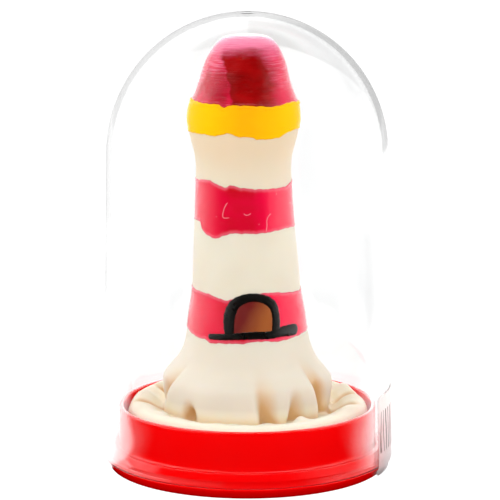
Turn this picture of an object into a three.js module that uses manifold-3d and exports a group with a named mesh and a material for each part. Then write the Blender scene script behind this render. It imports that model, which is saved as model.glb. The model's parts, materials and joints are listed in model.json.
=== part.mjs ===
// Souvenir lighthouse figure under a clear dome, standing on a red cup base.
// Millimetres, +Z up, front towards -Y. The origin is the centre of the foot's underside.
import * as THREE from 'three';
import { mergeVertices } from 'three/addons/utils/BufferGeometryUtils.js';
import Module from 'manifold-3d';

const wasm = await Module();
wasm.setup();

// Driving dimensions
const AROUND = 40; // facets round every turned piece
const DOME_MOUTH_RADIUS = 30.0;
const DOME_SHOULDER_RADIUS = 28.9;
const DOME_SHOULDER_HEIGHT = 65.4;
const DOME_WALL = 1.15;
const GATE_RADIUS = 1.1;
const GATE_RISE = 0.12;
const FLANGE_RADIUS = 29.3;
const FLANGE_HEIGHT = 2.1;
const COLLAR_RADIUS = 28.6;
const CUP_RADIUS = 26.7;
const CUP_WALL = 1.0;
const CUP_FLOOR_HEIGHT = 2.0;
const RIM_HEIGHT = 13.2;
const SEAT_GAP = 0.12; // between a piece and what it stands on
const SLEEVE_WALL = 0.55;
const COAT_GAP = 0.1; // between one layer on the figure and the next
const COAT_THICKNESS = 0.22;
const FIGURE_LEAN = 0.8; // most that the figure stands off the axis, towards -X
const LEAN_START = 22;
const LEAN_END = 92;
const LEAN_SKEW = 1.6; // above 1, the bend is strongest in the upper half
const CAP_EDGE = 76.35; // height where the cap's paint meets the yellow band
const CAP_STEPS = 10; // facets from the cap's edge to the tip
const GALLERY_EDGE = 69.8;
const WINDOW_LOW = 28.3;
const WINDOW_HIGH = 39.5;
const SILL = { left: -8.0, right: 10.6, bottom: 28.9, topLeft: 29.8, topRight: 31.2 };
const ARCH = { left: -4.4, right: 7.2, foot: 30.0, handles: 40.5, lean: 0.4 };
const PANE_CENTRE = { x: 1.5, y: 33.4 };
const PANE_RADIUS = { x: 3.7, y: 3.0 };
const PANE_GAP = 0.2;
const RIGHT_LABEL_AZIMUTH = THREE.MathUtils.degToRad(80);
const RIGHT_LABEL_WIDTH = 17.4;
const LEFT_LABEL_AZIMUTH = THREE.MathUtils.degToRad(-108);
const LEFT_LABEL_WIDTH = 13.0;
const LABEL_THICKNESS = 0.25;
const LABEL_BOTTOM = 0.3;
const LABEL_TOP = 17.0;
const LABEL_CORNER = 1.5;

const DOME_SEAT = FLANGE_HEIGHT + SEAT_GAP;
const FIGURE_SEAT = CUP_FLOOR_HEIGHT + SEAT_GAP;

// Outer face of the latex from the foot of the skirt up to the tip, as [radius, height].
const FIGURE_OUTLINE = [
  [17.3, 12.3], [17.4, 15.5], [17.2, 18.6], [16.0, 20.5], [14.0, 23.1], [12.75, 26.9],
  [12.0, 32.0], [11.2, 36.7], [10.8, 43.0], [10.2, 53.0], [9.85, 61.6], [10.05, 65.0],
  [10.9, 68.4], [11.35, 70.8], [11.55, 72.7], [11.2, 75.4], [10.1, 77.9], [9.15, 80.6],
  [8.4, 83.3], [7.35, 85.8], [6.1, 87.7], [4.8, 88.85], [3.0, 89.4], [0, 89.55],
];
const TIP_HEIGHT = 89.55;
const SKIRT_FOOT = 12.4;
const FORMER_STEPS = 13; // facets up the former's side
const FORMER_FOOT_TOP = 26.9; // below this the former is a plain round post
const figureCurve = new THREE.SplineCurve(FIGURE_OUTLINE.map(([r, z]) => new THREE.Vector2(r, z)));
figureCurve.arcLengthDivisions = 400;

// Share of the outline's length at which it reaches a height.
function arcAtHeight(height) {
  let below = 0;
  let above = 1;
  for (let halving = 0; halving < 30; halving += 1) {
    const middle = (below + above) / 2;
    if (figureCurve.getPointAt(middle).y < height) below = middle;
    else above = middle;
  }
  return (below + above) / 2;
}

function figureRadius(height) {
  return figureCurve.getPointAt(arcAtHeight(height)).x;
}

// The outline moved outwards by an offset, from the height `low` up to the tip.
function figureProfile(low, offset, steps) {
  const start = arcAtHeight(low);
  const points = [];
  for (let step = 0; step < steps; step += 1) {
    const share = THREE.MathUtils.lerp(start, 1, step / steps);
    const point = figureCurve.getPointAt(share);
    const along = figureCurve.getTangentAt(share);
    points.push([point.x + along.y * offset, point.y - along.x * offset]);
  }
  points.push([0, TIP_HEIGHT + offset]);
  return points;
}

// Solid of revolution about +Z. Its profile runs outwards below, up the outside and back inside.
function turned(profile) {
  const points = profile.map(([radius, height]) => new THREE.Vector2(radius, height));
  return new THREE.LatheGeometry(points, AROUND).rotateX(Math.PI / 2);
}

function closed(profile) {
  return [...profile, profile[0]];
}

// Moves every vertex by a function that changes the vector it is given.
function reshaped(geometry, move) {
  const position = geometry.attributes.position;
  const vertex = new THREE.Vector3();
  for (let index = 0; index < position.count; index += 1) {
    vertex.fromBufferAttribute(position, index);
    move(vertex);
    position.setXYZ(index, vertex.x, vertex.y, vertex.z);
  }
  geometry.computeVertexNormals();
  return geometry;
}

// The whole figure bends gently towards -X between its foot and its tip.
function leaning(geometry) {
  return reshaped(geometry, (vertex) => {
    const share = THREE.MathUtils.clamp((vertex.z - LEAN_START) / (LEAN_END - LEAN_START), 0, 1);
    vertex.x -= FIGURE_LEAN * Math.sin(Math.PI * share ** LEAN_SKEW);
  });
}

function solidOf(geometry) {
  const bare = geometry.clone();
  bare.deleteAttribute('normal');
  bare.deleteAttribute('uv');
  const merged = mergeVertices(bare);
  const vertProperties = Float32Array.from(merged.attributes.position.array);
  const triVerts = Uint32Array.from(merged.index.array);
  return new wasm.Manifold(new wasm.Mesh({ numProp: 3, vertProperties, triVerts }));
}

function geometryOf(solid) {
  const mesh = solid.getMesh();
  const geometry = new THREE.BufferGeometry();
  geometry.setAttribute('position', new THREE.BufferAttribute(mesh.vertProperties, mesh.numProp));
  geometry.setIndex(new THREE.BufferAttribute(mesh.triVerts, 1));
  geometry.computeVertexNormals();
  return geometry;
}

// The part of a thin round shell that an outline covers. The outline's plane faces `azimuth`,
// counted from the front (-Y) towards +X, and its own y is the height.
function patch(shell, outline, azimuth) {
  const outward = new THREE.Vector3(Math.sin(azimuth), -Math.cos(azimuth), 0);
  const sideways = new THREE.Vector3(Math.cos(azimuth), Math.sin(azimuth), 0);
  const up = new THREE.Vector3(0, 0, 1);
  const options = { depth: DOME_MOUTH_RADIUS + 5, bevelEnabled: false, curveSegments: 8 };
  const prism = new THREE.ExtrudeGeometry(outline, options);
  prism.applyMatrix4(new THREE.Matrix4().makeBasis(sideways, up, outward));
  return geometryOf(solidOf(shell).intersect(solidOf(prism)));
}

function lerpPoints(from, to, steps, place) {
  const points = [];
  for (let step = 0; step <= steps; step += 1) {
    points.push(place(THREE.MathUtils.lerp(from, to, step / steps)));
  }
  return points;
}

// Clear dome: a slightly tapered cylinder under a half sphere, with its moulding gate on top.
function domeGeometry() {
  const arcSteps = 9;
  const innerRadius = DOME_SHOULDER_RADIUS - DOME_WALL;
  const gateTop = DOME_SHOULDER_HEIGHT + DOME_SHOULDER_RADIUS + GATE_RISE;
  const gateAngle = Math.acos(GATE_RADIUS / DOME_SHOULDER_RADIUS);
  const onSphere = (radius) => (angle) => [
    radius * Math.cos(angle),
    DOME_SHOULDER_HEIGHT + radius * Math.sin(angle),
  ];
  const outside = lerpPoints(0, gateAngle, arcSteps, onSphere(DOME_SHOULDER_RADIUS));
  const inside = lerpPoints(Math.PI / 2, 0, arcSteps, onSphere(innerRadius));
  inside[0][0] = 0;
  return turned(closed([
    [DOME_MOUTH_RADIUS - DOME_WALL, DOME_SEAT], [DOME_MOUTH_RADIUS, DOME_SEAT],
    ...outside, [GATE_RADIUS, gateTop], [0, gateTop], ...inside,
  ]));
}

// Base: foot flange, collar with a lead-in for the dome, and the cup that holds the figure.
function baseGeometry() {
  const recess = 0.6;
  const footRingInner = 25.2;
  const footRadius = 28.7;
  const footChamfer = 0.7;
  const flangeChamfer = 0.25;
  const collarShoulder = 3.7;
  const collarTop = 5.0;
  const collarTopRadius = 27.9;
  const cupDraft = 0.1;
  const floorCorner = 0.6;
  const lipRadius = CUP_WALL / 2;
  const lip = lerpPoints(0, Math.PI, 4, (angle) => [
    CUP_RADIUS - lipRadius + lipRadius * Math.cos(angle),
    RIM_HEIGHT - lipRadius + lipRadius * Math.sin(angle),
  ]);
  const cupInner = CUP_RADIUS - CUP_WALL - cupDraft;
  return turned([
    [0, recess], [footRingInner, recess], [footRingInner + recess, 0], [footRadius, 0],
    [FLANGE_RADIUS, footChamfer], [FLANGE_RADIUS, FLANGE_HEIGHT - flangeChamfer],
    [FLANGE_RADIUS - flangeChamfer, FLANGE_HEIGHT], [COLLAR_RADIUS, FLANGE_HEIGHT],
    [COLLAR_RADIUS, collarShoulder], [collarTopRadius, collarTop],
    [CUP_RADIUS + cupDraft, collarTop], ...lip,
    [cupInner, CUP_FLOOR_HEIGHT + floorCorner], [cupInner - floorCorner, CUP_FLOOR_HEIGHT],
    [0, CUP_FLOOR_HEIGHT],
  ]);
}

// Latex sleeve: stretched over the former, flared into a skirt, and gathered into a puffy ring
// that fills the cup. Skirt and ring are one thick gathered mass round the former's post.
function sleeveGeometry() {
  const ring = [
    [24.4, FIGURE_SEAT], [25.3, FIGURE_SEAT + 1.0], [25.35, 9.4], [25.1, 11.6], [24.0, 13.5],
    [21.8, 14.0], [19.8, 12.8], [18.4, 11.7],
  ];
  const outside = figureProfile(SKIRT_FOOT, 0, 26);
  const inside = figureProfile(FORMER_FOOT_TOP, -SLEEVE_WALL, FORMER_STEPS).reverse();
  const footInner = inside[inside.length - 1][0];
  return leaning(turned(closed([[footInner, FIGURE_SEAT], ...ring, ...outside, ...inside])));
}

// Solid turned former inside the sleeve, standing on the cup's floor.
function formerGeometry() {
  const side = figureProfile(FORMER_FOOT_TOP, -SLEEVE_WALL - COAT_GAP, FORMER_STEPS);
  return leaning(turned([[0, FIGURE_SEAT], [side[0][0], FIGURE_SEAT], ...side]));
}

// Painted cap over the tip, down to where it meets the yellow band.
function capGeometry() {
  const outside = figureProfile(CAP_EDGE, COAT_GAP + COAT_THICKNESS, CAP_STEPS);
  const inside = figureProfile(CAP_EDGE, COAT_GAP, CAP_STEPS).reverse();
  return leaning(turned(closed([inside[inside.length - 1], ...outside, ...inside])));
}

// One brushed band of paint round the figure. Its edges are heights that vary with the angle.
function bandGeometry(lowerEdge, upperEdge) {
  const rows = 3;
  const reference = 10;
  const outside = lerpPoints(0, 1, rows, (share) => [reference + COAT_THICKNESS, share]);
  const inside = lerpPoints(1, 0, rows, (share) => [reference, share]);
  return leaning(reshaped(turned(closed([...outside, ...inside])), (vertex) => {
    const angle = Math.atan2(vertex.x, -vertex.y);
    const layer = Math.hypot(vertex.x, vertex.y) - reference;
    const height = THREE.MathUtils.lerp(lowerEdge(angle), upperEdge(angle), vertex.z);
    const radius = figureRadius(height) + COAT_GAP + layer;
    vertex.set(radius * Math.sin(angle), -radius * Math.cos(angle), height);
  }));
}

// A single rounded bump centred on an angle, for a drip or a dip in a brushed edge.
function bump(angle, centre, width) {
  const away = Math.atan2(Math.sin(angle - centre), Math.cos(angle - centre)) / width;
  return Math.exp(-away * away);
}

// Height of a brushed edge round the figure: a level with a slow wave, and its drips and dips.
function brushedEdge(level, { wave = 0, waves = 2, bumps = [] } = {}) {
  return (angle) => {
    let height = level + wave * Math.sin(waves * angle);
    for (const { at, width, rise } of bumps) height += rise * bump(angle, at, width);
    return height;
  };
}

// Shell that lies on the paint of the lower stripe, from which the window is cut.
function windowShell() {
  const rows = 6;
  const inset = COAT_GAP + COAT_THICKNESS + COAT_GAP;
  const face = (offset) => (height) => [figureRadius(height) + offset, height];
  const outside = lerpPoints(WINDOW_LOW, WINDOW_HIGH, rows, face(inset + COAT_THICKNESS));
  const inside = lerpPoints(WINDOW_HIGH, WINDOW_LOW, rows, face(inset));
  return turned(closed([...outside, ...inside]));
}

// Opening of the arched window, grown by a margin: the pane itself, or the hole that clears it.
function paneOutline(margin) {
  const width = PANE_RADIUS.x + margin;
  const height = PANE_RADIUS.y + margin;
  const outline = new THREE.Path();
  outline.absellipse(PANE_CENTRE.x, PANE_CENTRE.y, width, height, 0, Math.PI * 2);
  return outline;
}

// Painted window frame: a round arch standing on a long sill that is thicker to the right.
function windowFrameOutline() {
  const frame = new THREE.Shape();
  frame.moveTo(SILL.left, SILL.bottom);
  frame.lineTo(SILL.right, SILL.bottom + ARCH.lean);
  frame.lineTo(SILL.right, SILL.topRight);
  frame.lineTo(ARCH.right, SILL.topRight);
  frame.bezierCurveTo(ARCH.right + ARCH.lean, ARCH.handles, ARCH.left, ARCH.handles, ARCH.left, ARCH.foot);
  frame.lineTo(SILL.left, SILL.topLeft);
  frame.closePath();
  frame.holes.push(paneOutline(PANE_GAP));
  return frame;
}

function windowPaneOutline() {
  return new THREE.Shape(paneOutline(0).getPoints(12));
}

// Paper seal with round corners, lying on the dome and reaching down over the foot's flange.
function labelGeometry(azimuth, width) {
  const taper = (DOME_MOUTH_RADIUS - DOME_SHOULDER_RADIUS) / (DOME_SHOULDER_HEIGHT - DOME_SEAT);
  const face = (height, offset) => [DOME_MOUTH_RADIUS - (height - DOME_SEAT) * taper + offset, height];
  const outer = SEAT_GAP + LABEL_THICKNESS;
  const shell = turned(closed([
    face(LABEL_BOTTOM - 1, SEAT_GAP), face(LABEL_BOTTOM - 1, outer),
    face(LABEL_TOP + 1, outer), face(LABEL_TOP + 1, SEAT_GAP),
  ]));
  const side = width / 2;
  const outline = new THREE.Shape();
  outline.moveTo(-side + LABEL_CORNER, LABEL_BOTTOM);
  outline.lineTo(side - LABEL_CORNER, LABEL_BOTTOM);
  outline.absarc(side - LABEL_CORNER, LABEL_BOTTOM + LABEL_CORNER, LABEL_CORNER, -Math.PI / 2, 0);
  outline.absarc(side - LABEL_CORNER, LABEL_TOP - LABEL_CORNER, LABEL_CORNER, 0, Math.PI / 2);
  outline.absarc(-side + LABEL_CORNER, LABEL_TOP - LABEL_CORNER, LABEL_CORNER, Math.PI / 2, Math.PI);
  outline.absarc(-side + LABEL_CORNER, LABEL_BOTTOM + LABEL_CORNER, LABEL_CORNER, Math.PI, Math.PI * 1.5);
  return patch(shell, outline, azimuth);
}

const ornament = new THREE.Group();

function addPiece(name, geometry, color, roughness, extra = {}) {
  const material = new THREE.MeshStandardMaterial({ color, roughness, metalness: 0, ...extra });
  const mesh = new THREE.Mesh(geometry, material);
  mesh.name = name;
  ornament.add(mesh);
}

const upperStripeDrips = [{ at: -0.8, width: 0.25, rise: -1.6 }, { at: -1.5, width: 0.4, rise: 0.5 }];
const lowerStripeRise = [{ at: 0.1, width: 0.4, rise: 1.2 }];
const upperStripe = bandGeometry(
  brushedEdge(50.4, { bumps: upperStripeDrips }),
  brushedEdge(59.7, { wave: 0.2 }),
);
const lowerStripe = bandGeometry(
  brushedEdge(28.3, { wave: 0.2, waves: 3 }),
  brushedEdge(37.1, { bumps: lowerStripeRise }),
);
const galleryBand = bandGeometry(
  brushedEdge(GALLERY_EDGE, { wave: 0.1 }),
  brushedEdge(CAP_EDGE - COAT_GAP * 2),
);

addPiece('clear_dome', domeGeometry(), 0xffffff, 0.05, { transparent: true, opacity: 0.25 });
addPiece('base_cup', baseGeometry(), 0xe0000a, 0.25);
addPiece('inner_former', formerGeometry(), 0xc8a878, 0.7);
addPiece('latex_sleeve', sleeveGeometry(), 0xf0e4ce, 0.45);
addPiece('cap_coat', capGeometry(), 0x9a0a24, 0.3);
addPiece('gallery_coat', galleryBand, 0xffc400, 0.35);
addPiece('upper_stripe_coat', upperStripe, 0xe0103a, 0.35);
addPiece('lower_stripe_coat', lowerStripe, 0xe0103a, 0.35);
addPiece('window_outline', leaning(patch(windowShell(), windowFrameOutline(), 0)), 0x050505, 0.3);
addPiece('window_pane', leaning(patch(windowShell(), windowPaneOutline(), 0)), 0x7a2a08, 0.35);
addPiece('seal_label_right', labelGeometry(RIGHT_LABEL_AZIMUTH, RIGHT_LABEL_WIDTH), 0xf2eeee, 0.7);
addPiece('seal_label_left', labelGeometry(LEFT_LABEL_AZIMUTH, LEFT_LABEL_WIDTH), 0xf2eeee, 0.7);

export default ornament;
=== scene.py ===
"""Looks of a souvenir lighthouse under a clear dome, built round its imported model.

The object's sizes are in millimetres, and become metres when a mesh is made.
+Z is up and the front faces -Y. Angles round the figure are counted from the front towards +X.
"""
import json
import math

import bpy
import mathutils
import numpy as np
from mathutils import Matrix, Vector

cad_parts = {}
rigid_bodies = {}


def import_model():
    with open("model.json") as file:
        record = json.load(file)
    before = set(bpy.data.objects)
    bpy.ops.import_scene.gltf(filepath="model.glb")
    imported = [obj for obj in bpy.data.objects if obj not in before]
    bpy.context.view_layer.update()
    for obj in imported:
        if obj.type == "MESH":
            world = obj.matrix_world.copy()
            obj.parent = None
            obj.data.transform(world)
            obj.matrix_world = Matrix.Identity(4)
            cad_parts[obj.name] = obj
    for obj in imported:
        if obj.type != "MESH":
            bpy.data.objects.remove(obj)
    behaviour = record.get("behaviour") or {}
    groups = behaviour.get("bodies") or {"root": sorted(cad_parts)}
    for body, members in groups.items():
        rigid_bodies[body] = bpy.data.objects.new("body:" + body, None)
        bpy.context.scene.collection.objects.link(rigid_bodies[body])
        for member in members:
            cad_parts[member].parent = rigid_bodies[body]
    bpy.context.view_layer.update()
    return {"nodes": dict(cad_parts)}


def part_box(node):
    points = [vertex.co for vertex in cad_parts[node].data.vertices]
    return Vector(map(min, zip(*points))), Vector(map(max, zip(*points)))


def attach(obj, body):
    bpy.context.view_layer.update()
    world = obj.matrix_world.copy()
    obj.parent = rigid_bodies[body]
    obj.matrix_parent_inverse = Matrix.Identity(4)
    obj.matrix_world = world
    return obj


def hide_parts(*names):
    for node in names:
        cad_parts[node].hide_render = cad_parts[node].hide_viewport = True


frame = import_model()
scene = bpy.context.scene

MM = 0.001

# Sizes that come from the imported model
DOME_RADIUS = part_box("clear_dome")[1].x / MM
DOME_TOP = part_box("clear_dome")[1].z / MM
DOME_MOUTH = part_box("clear_dome")[0].z / MM
FLANGE_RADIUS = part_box("base_cup")[1].x / MM
RIM_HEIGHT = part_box("base_cup")[1].z / MM
SLEEVE_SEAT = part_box("latex_sleeve")[0].z / MM
TIP_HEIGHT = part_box("latex_sleeve")[1].z / MM

# Sizes of the moulded parts
DOME_WALL = 1.15
DOME_TAPER = 1.1
DOME_GATE_RISE = 0.07
FLANGE_HEIGHT = 2.1
CUP_RADIUS = 26.7
CUP_WALL = 1
POST_RADIUS = 12.45

# The figure's outer face from the foot of the skirt up to the tip, as radius and height
FIGURE_OUTLINE = (
    (17.3, 12.3), (17.4, 15.5), (17.2, 18.6), (16, 20.5), (14, 23.1), (12.75, 26.9),
    (12, 32), (11.2, 36.7), (10.8, 43), (10.2, 53), (9.85, 61.6), (10.05, 65),
    (10.9, 68.4), (11.35, 70.8), (11.55, 72.7), (11.2, 75.4), (10.1, 77.9), (9.15, 80.6),
    (8.4, 83.3), (7.35, 85.8), (6.1, 87.7), (4.8, 88.85), (3, 89.4), (0, TIP_HEIGHT),
)
SKIRT_FOOT = FIGURE_OUTLINE[0][1]
SKIRT_TOP = 27
LEAN = 0.8
LEAN_START = 22
LEAN_END = 92
LEAN_SKEW = 1.6


def smooth_step(low, high, value):
    share = np.clip((value - low) / (high - low), 0, 1)
    return share * share * (3 - 2 * share)


def hump(value, centre, width):
    return np.exp(-(((value - centre) / width) ** 2))


def turn_between(angle, centre):
    """Degrees from centre to angle, the short way round."""
    return (angle - centre + 180) % 360 - 180


def spline(points, per_span=24):
    """A smooth curve through the points, as a dense polyline."""
    p = np.array([points[0], *points, points[-1]], float)
    w = np.linspace(0, 1, per_span, endpoint=False)[:, None]
    parts = []
    for i in range(1, len(p) - 2):
        v0 = (p[i + 1] - p[i - 1]) / 2
        v1 = (p[i + 2] - p[i]) / 2
        cubic = (2 * p[i] - 2 * p[i + 1] + v0 + v1) * w**3
        square = (-3 * p[i] + 3 * p[i + 1] - 2 * v0 - v1) * w**2
        parts.append(cubic + square + v0 * w + p[i])
    return np.vstack([*parts, p[-1:]])


def run_along(line):
    """The distance from the line's first point to each of its points."""
    return np.concatenate([[0], np.cumsum(np.linalg.norm(np.diff(line, axis=0), axis=1))])


def resample(line, spacing):
    """The polyline again with points about one spacing apart."""
    along = run_along(line)
    count = max(2, int(round(along[-1] / spacing)) + 1)
    at = np.linspace(0, along[-1], count)
    return np.stack([np.interp(at, along, line[:, k]) for k in range(line.shape[1])], axis=1)


def eased_steps(count):
    """Numbers from 0 to 1 that lie closer together towards both ends."""
    return 0.5 - 0.5 * np.cos(np.pi * np.linspace(0, 1, count))


def outward_normals(line):
    """Unit normals, away from the axis, of a profile that runs down from the tip."""
    tangent = np.gradient(line, axis=0)
    normal = np.stack([-tangent[:, 1], tangent[:, 0]], axis=1)
    return normal / np.linalg.norm(normal, axis=1)[:, None]


OUTLINE = spline(FIGURE_OUTLINE, 60)


def figure_radius(z):
    return np.interp(z, OUTLINE[:, 1], OUTLINE[:, 0])


def angles_round(columns):
    return np.linspace(0, 360, columns, endpoint=False)[None, :]


def placed(angle, radius, z):
    """Points at an angle from the front, a radius and a height."""
    a = np.radians(angle)
    x, y, z = np.broadcast_arrays(radius * np.sin(a), -radius * np.cos(a), z)
    return np.stack([x, y, z], axis=-1)


def leaning(points):
    """The figure bends gently towards -X between its foot and its tip."""
    share = np.clip((points[..., 2] - LEAN_START) / (LEAN_END - LEAN_START), 0, 1)
    moved = points.copy()
    moved[..., 0] -= LEAN * np.sin(np.pi * share**LEAN_SKEW)
    return moved


# ---- meshes

def mesh_object(name, points, faces):
    """A smooth-shaded object from points in millimetres."""
    mesh = bpy.data.meshes.new(name)
    mesh.from_pydata((np.asarray(points, float) * MM).tolist(), [], faces)
    mesh.validate()
    mesh.polygons.foreach_set("use_smooth", [True] * len(mesh.polygons))
    obj = bpy.data.objects.new(name, mesh)
    scene.collection.objects.link(obj)
    return obj


def set_mark(obj, values):
    """A number at each point that the object's material reads."""
    obj.data.attributes.new("mark", "FLOAT", "POINT").data.foreach_set("value", values)


def signed_volume(points, quads):
    """A number whose sign tells whether the quads face outwards."""
    a, b, c, d = (points[quads[:, k]] for k in range(4))
    return np.sum(a * (np.cross(b, c) + np.cross(c, d)))


def quads_between(first, second, columns):
    """Quads between two closed rows of points, whose numbers start at first and at second."""
    j = np.arange(columns)
    k = (j + 1) % columns
    return np.stack([first + j, first + k, second + k, second + j], axis=1)


def turned_object(name, rows, closed=False, mark=None):
    """A closed body from rows of points round the axis. The first and last rows are the poles,
    unless the section is closed, as a ring's is. mark says for each point how deep latex lies in
    a fold, which the latex's material paints as shade, or how thin paint is."""
    count, columns = rows.shape[:2]
    if closed:
        points = rows.reshape(-1, 3)
        starts = np.arange(count + 1) % count * columns
    else:
        points = np.vstack([rows[0].mean(axis=0), rows[1:-1].reshape(-1, 3), rows[-1].mean(axis=0)])
        starts = 1 + np.arange(count - 2) * columns
    quads = np.vstack([quads_between(*pair, columns) for pair in zip(starts, starts[1:])])
    faces = quads.tolist()
    if not closed:
        last = len(points) - 1
        for j in range(columns):
            k = (j + 1) % columns
            faces.append([0, 1 + k, 1 + j])
            faces.append([last, last - columns + j, last - columns + k])
    if signed_volume(points, quads) < 0:
        faces = [face[::-1] for face in faces]
    obj = mesh_object(name, points, faces)
    if mark is not None:
        if not closed:
            mark = np.concatenate([[mark[0].mean()], mark[1:-1].ravel(), [mark[-1].mean()]])
        set_mark(obj, mark.ravel())
    return obj


def slab_object(name, inner, outer):
    """A closed thin body between two equal grids of points."""
    grid = np.arange(inner[..., 0].size).reshape(inner.shape[:2])
    back = np.stack([grid[1:, :-1], grid[1:, 1:], grid[:-1, 1:], grid[:-1, :-1]], axis=-1).reshape(-1, 4)
    front = back[:, ::-1] + grid.size
    border = np.concatenate([grid[0], grid[1:, -1], grid[-1, -2::-1], grid[-2:0:-1, 0]])
    onward = np.roll(border, -1)
    side = np.stack([border, onward, onward + grid.size, border + grid.size], axis=1)
    points = np.vstack([inner.reshape(-1, 3), outer.reshape(-1, 3)])
    return mesh_object(name, points, np.vstack([back, front, side]).tolist())


# ---- the latex sleeve

# Pleats at the foot of the skirt: angle, lean in degrees per millimetre of height, side that
# the pleat opens to, depth, height where it starts and width in degrees
PLEATS = (
    (9, -0.5, 1, 2.3, 23.5, 14), (28.5, 0.5, 1, 2, 21, 13), (56, -0.7, 1, 3.2, 25.5, 13),
    (-75, 1.9, -1, 3, 25, 13), (98, 1, -1, 1.8, 22, 10),
    (118, -0.8, 1, 1.7, 22, 11), (150, 1.2, -1, 2.2, 25, 12), (176, -0.5, 1, 1.5, 21, 11),
    (-152, 0.9, 1, 2, 24, 11), (-124, -1.2, -1, 1.7, 22, 11),
)

# A pleat's closed edge, and the raised lip beside it, in degrees and as a share of its depth
PLEAT_EDGE = 2.6
PLEAT_ROUNDNESS = 1.6
LIP_ANGLE, LIP_WIDTH, LIP_SHARE = -4, 7, 0.25

# Depths at which a fold has its full painted shade
PLEAT_DEEP = 1.35
GATHER_DEEP = 0.8

# Broad swellings of the skirt, and small hooded pockets where it meets the ring: angle, height,
# rise, and half sizes in degrees and in height
SWELLINGS = (
    (-16, 15, 0.35, 16, 4.5), (-61, 18, 0.3, 9, 5), (24, 15, 0.5, 8, 4.5),
    (47, 16, 0.5, 8, 5), (80, 20, 0.55, 13, 6.5), (-100, 19, 0.5, 12, 6),
    (-43, 13, -2.3, 4.5, 2), (62, 13.5, -2.6, 4.5, 4.5), (-80, 13, -1.3, 5, 4),
    (140, 13, -1.4, 5, 2),
)

# Bumps and hollows on top of the puffy ring: angle, radius, rise, and half sizes along the
# radius and across it
RING_FEATURES = (
    (-8, 18.9, 0.6, 1.3, 1.6), (12.5, 19, 0.65, 1.2, 1.7), (32.5, 19.7, 1.1, 1.7, 1.3),
    (79, 19.4, -2.4, 2.6, 1.2), (66, 22.4, 0.6, 1.4, 2.4), (90, 20.6, 0.9, 3, 0.9),
    (101, 21.4, -1.4, 2.6, 1), (113, 22, 0.8, 2.4, 1.8), (-86, 19.8, -2.3, 2.9, 1.1),
    (-70, 21.4, 0.6, 2.4, 1.8), (-98, 21, 0.9, 2.6, 1.5), (-44, 18.4, -0.9, 1.2, 1.6),
    (-58, 19.4, 0.6, 1.4, 1.5), (47, 18.8, -0.9, 1.4, 1.6), (-120, 20, -1.2, 2.2, 1),
    (130, 20, -1.3, 2.4, 1.1), (146, 21, 0.8, 2.2, 1.5), (163, 19.8, -1.1, 2, 1),
    (180, 20.8, 0.8, 2.2, 1.6), (-160, 19.8, -1.2, 2.2, 1.1), (-141, 21, 0.8, 2.2, 1.6),
    (-24, 20.6, -0.35, 1.6, 1.6), (2.5, 20.4, -0.35, 1.6, 1.2), (22, 20.4, -0.45, 1.6, 1.3),
)

# The puffy ring from the skirt's foot over to its side, and the sleeve's underside, as radius
# and height
RING_OUTLINE = (
    (17.3, SKIRT_FOOT), (17.8, 11.8), (18.8, 12.1), (20.1, 13), (21.8, 13.6), (23.4, 13.5),
    (24.6, 12.6), (25.2, 11), (25.25, 9.2),
)
UNDERSIDE = (RING_OUTLINE[-1], (25.2, 3.4), (24.2, SLEEVE_SEAT), (POST_RADIUS, SLEEVE_SEAT))
SLEEVE_THICK = 0.5
SLEEVE_COLUMNS = 432

# Distances between the sleeve's rows of points
SHAFT_STEP, SKIRT_STEP, RING_STEP = 0.8, 0.3, 0.24
UNDERSIDE_STEP, INSIDE_STEP = 2, 2.5

# How far the pleats run out over the ring, how much the ring's rim waves in and out, and how
# much higher the ring stands at the back
FOOT_BLEND = 1.1
RIM_WAVE = 0.2
BACK_RISE = 0.35


def shaft_unevenness(angle, z):
    """Small lumps of hand-stretched latex that paint and sleeve share."""
    a = np.radians(angle)
    slow = 0.07 * np.sin(2 * a + 0.11 * z + 0.6) + 0.05 * np.sin(3 * a - 0.16 * z + 2)
    quick = 0.025 * np.sin(5 * a + 0.43 * z) * np.sin(0.31 * z + 1)
    return (slow + quick) * smooth_step(TIP_HEIGHT, TIP_HEIGHT - 12, z)


def pleat_shift(angle, z):
    """How far the pleats move the skirt's face outwards."""
    shift = np.zeros(np.broadcast(angle, z).shape)
    height = np.maximum(z, SKIRT_FOOT)
    for foot_angle, lean, side, depth, top, width in PLEATS:
        away = turn_between(angle, foot_angle + lean * (height - SKIRT_FOOT)) * side
        fade = smooth_step(top, SKIRT_FOOT, height)
        edge = PLEAT_EDGE + PLEAT_EDGE * (1 - fade)
        opening = np.exp(-((np.abs(away) / width) ** PLEAT_ROUNDNESS)) * smooth_step(-edge, edge, away)
        lip = hump(away, LIP_ANGLE, LIP_WIDTH) * LIP_SHARE
        shift += depth * fade * (lip - opening)
    for centre, level, rise, wide, tall in SWELLINGS:
        shift += rise * hump(turn_between(angle, centre), 0, wide) * hump(height, level, tall)
    return shift * smooth_step(SKIRT_TOP + 1, SKIRT_TOP - 5, height)


def ring_shift(angle, radius):
    """How far the gathers lift the top of the ring."""
    shift = np.zeros(np.broadcast(angle, radius).shape)
    for centre, middle, rise, deep, wide in RING_FEATURES:
        across = np.radians(turn_between(angle, centre)) * radius
        shift += rise * hump(radius, middle, deep) * hump(across, 0, wide)
    a = np.radians(angle)
    wrinkles = 0.08 * np.sin(17 * a + 0.9 * radius) + 0.05 * np.sin(29 * a - 1.1 * radius + 1.3)
    return shift + wrinkles * hump(radius, 20, 3)


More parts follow.
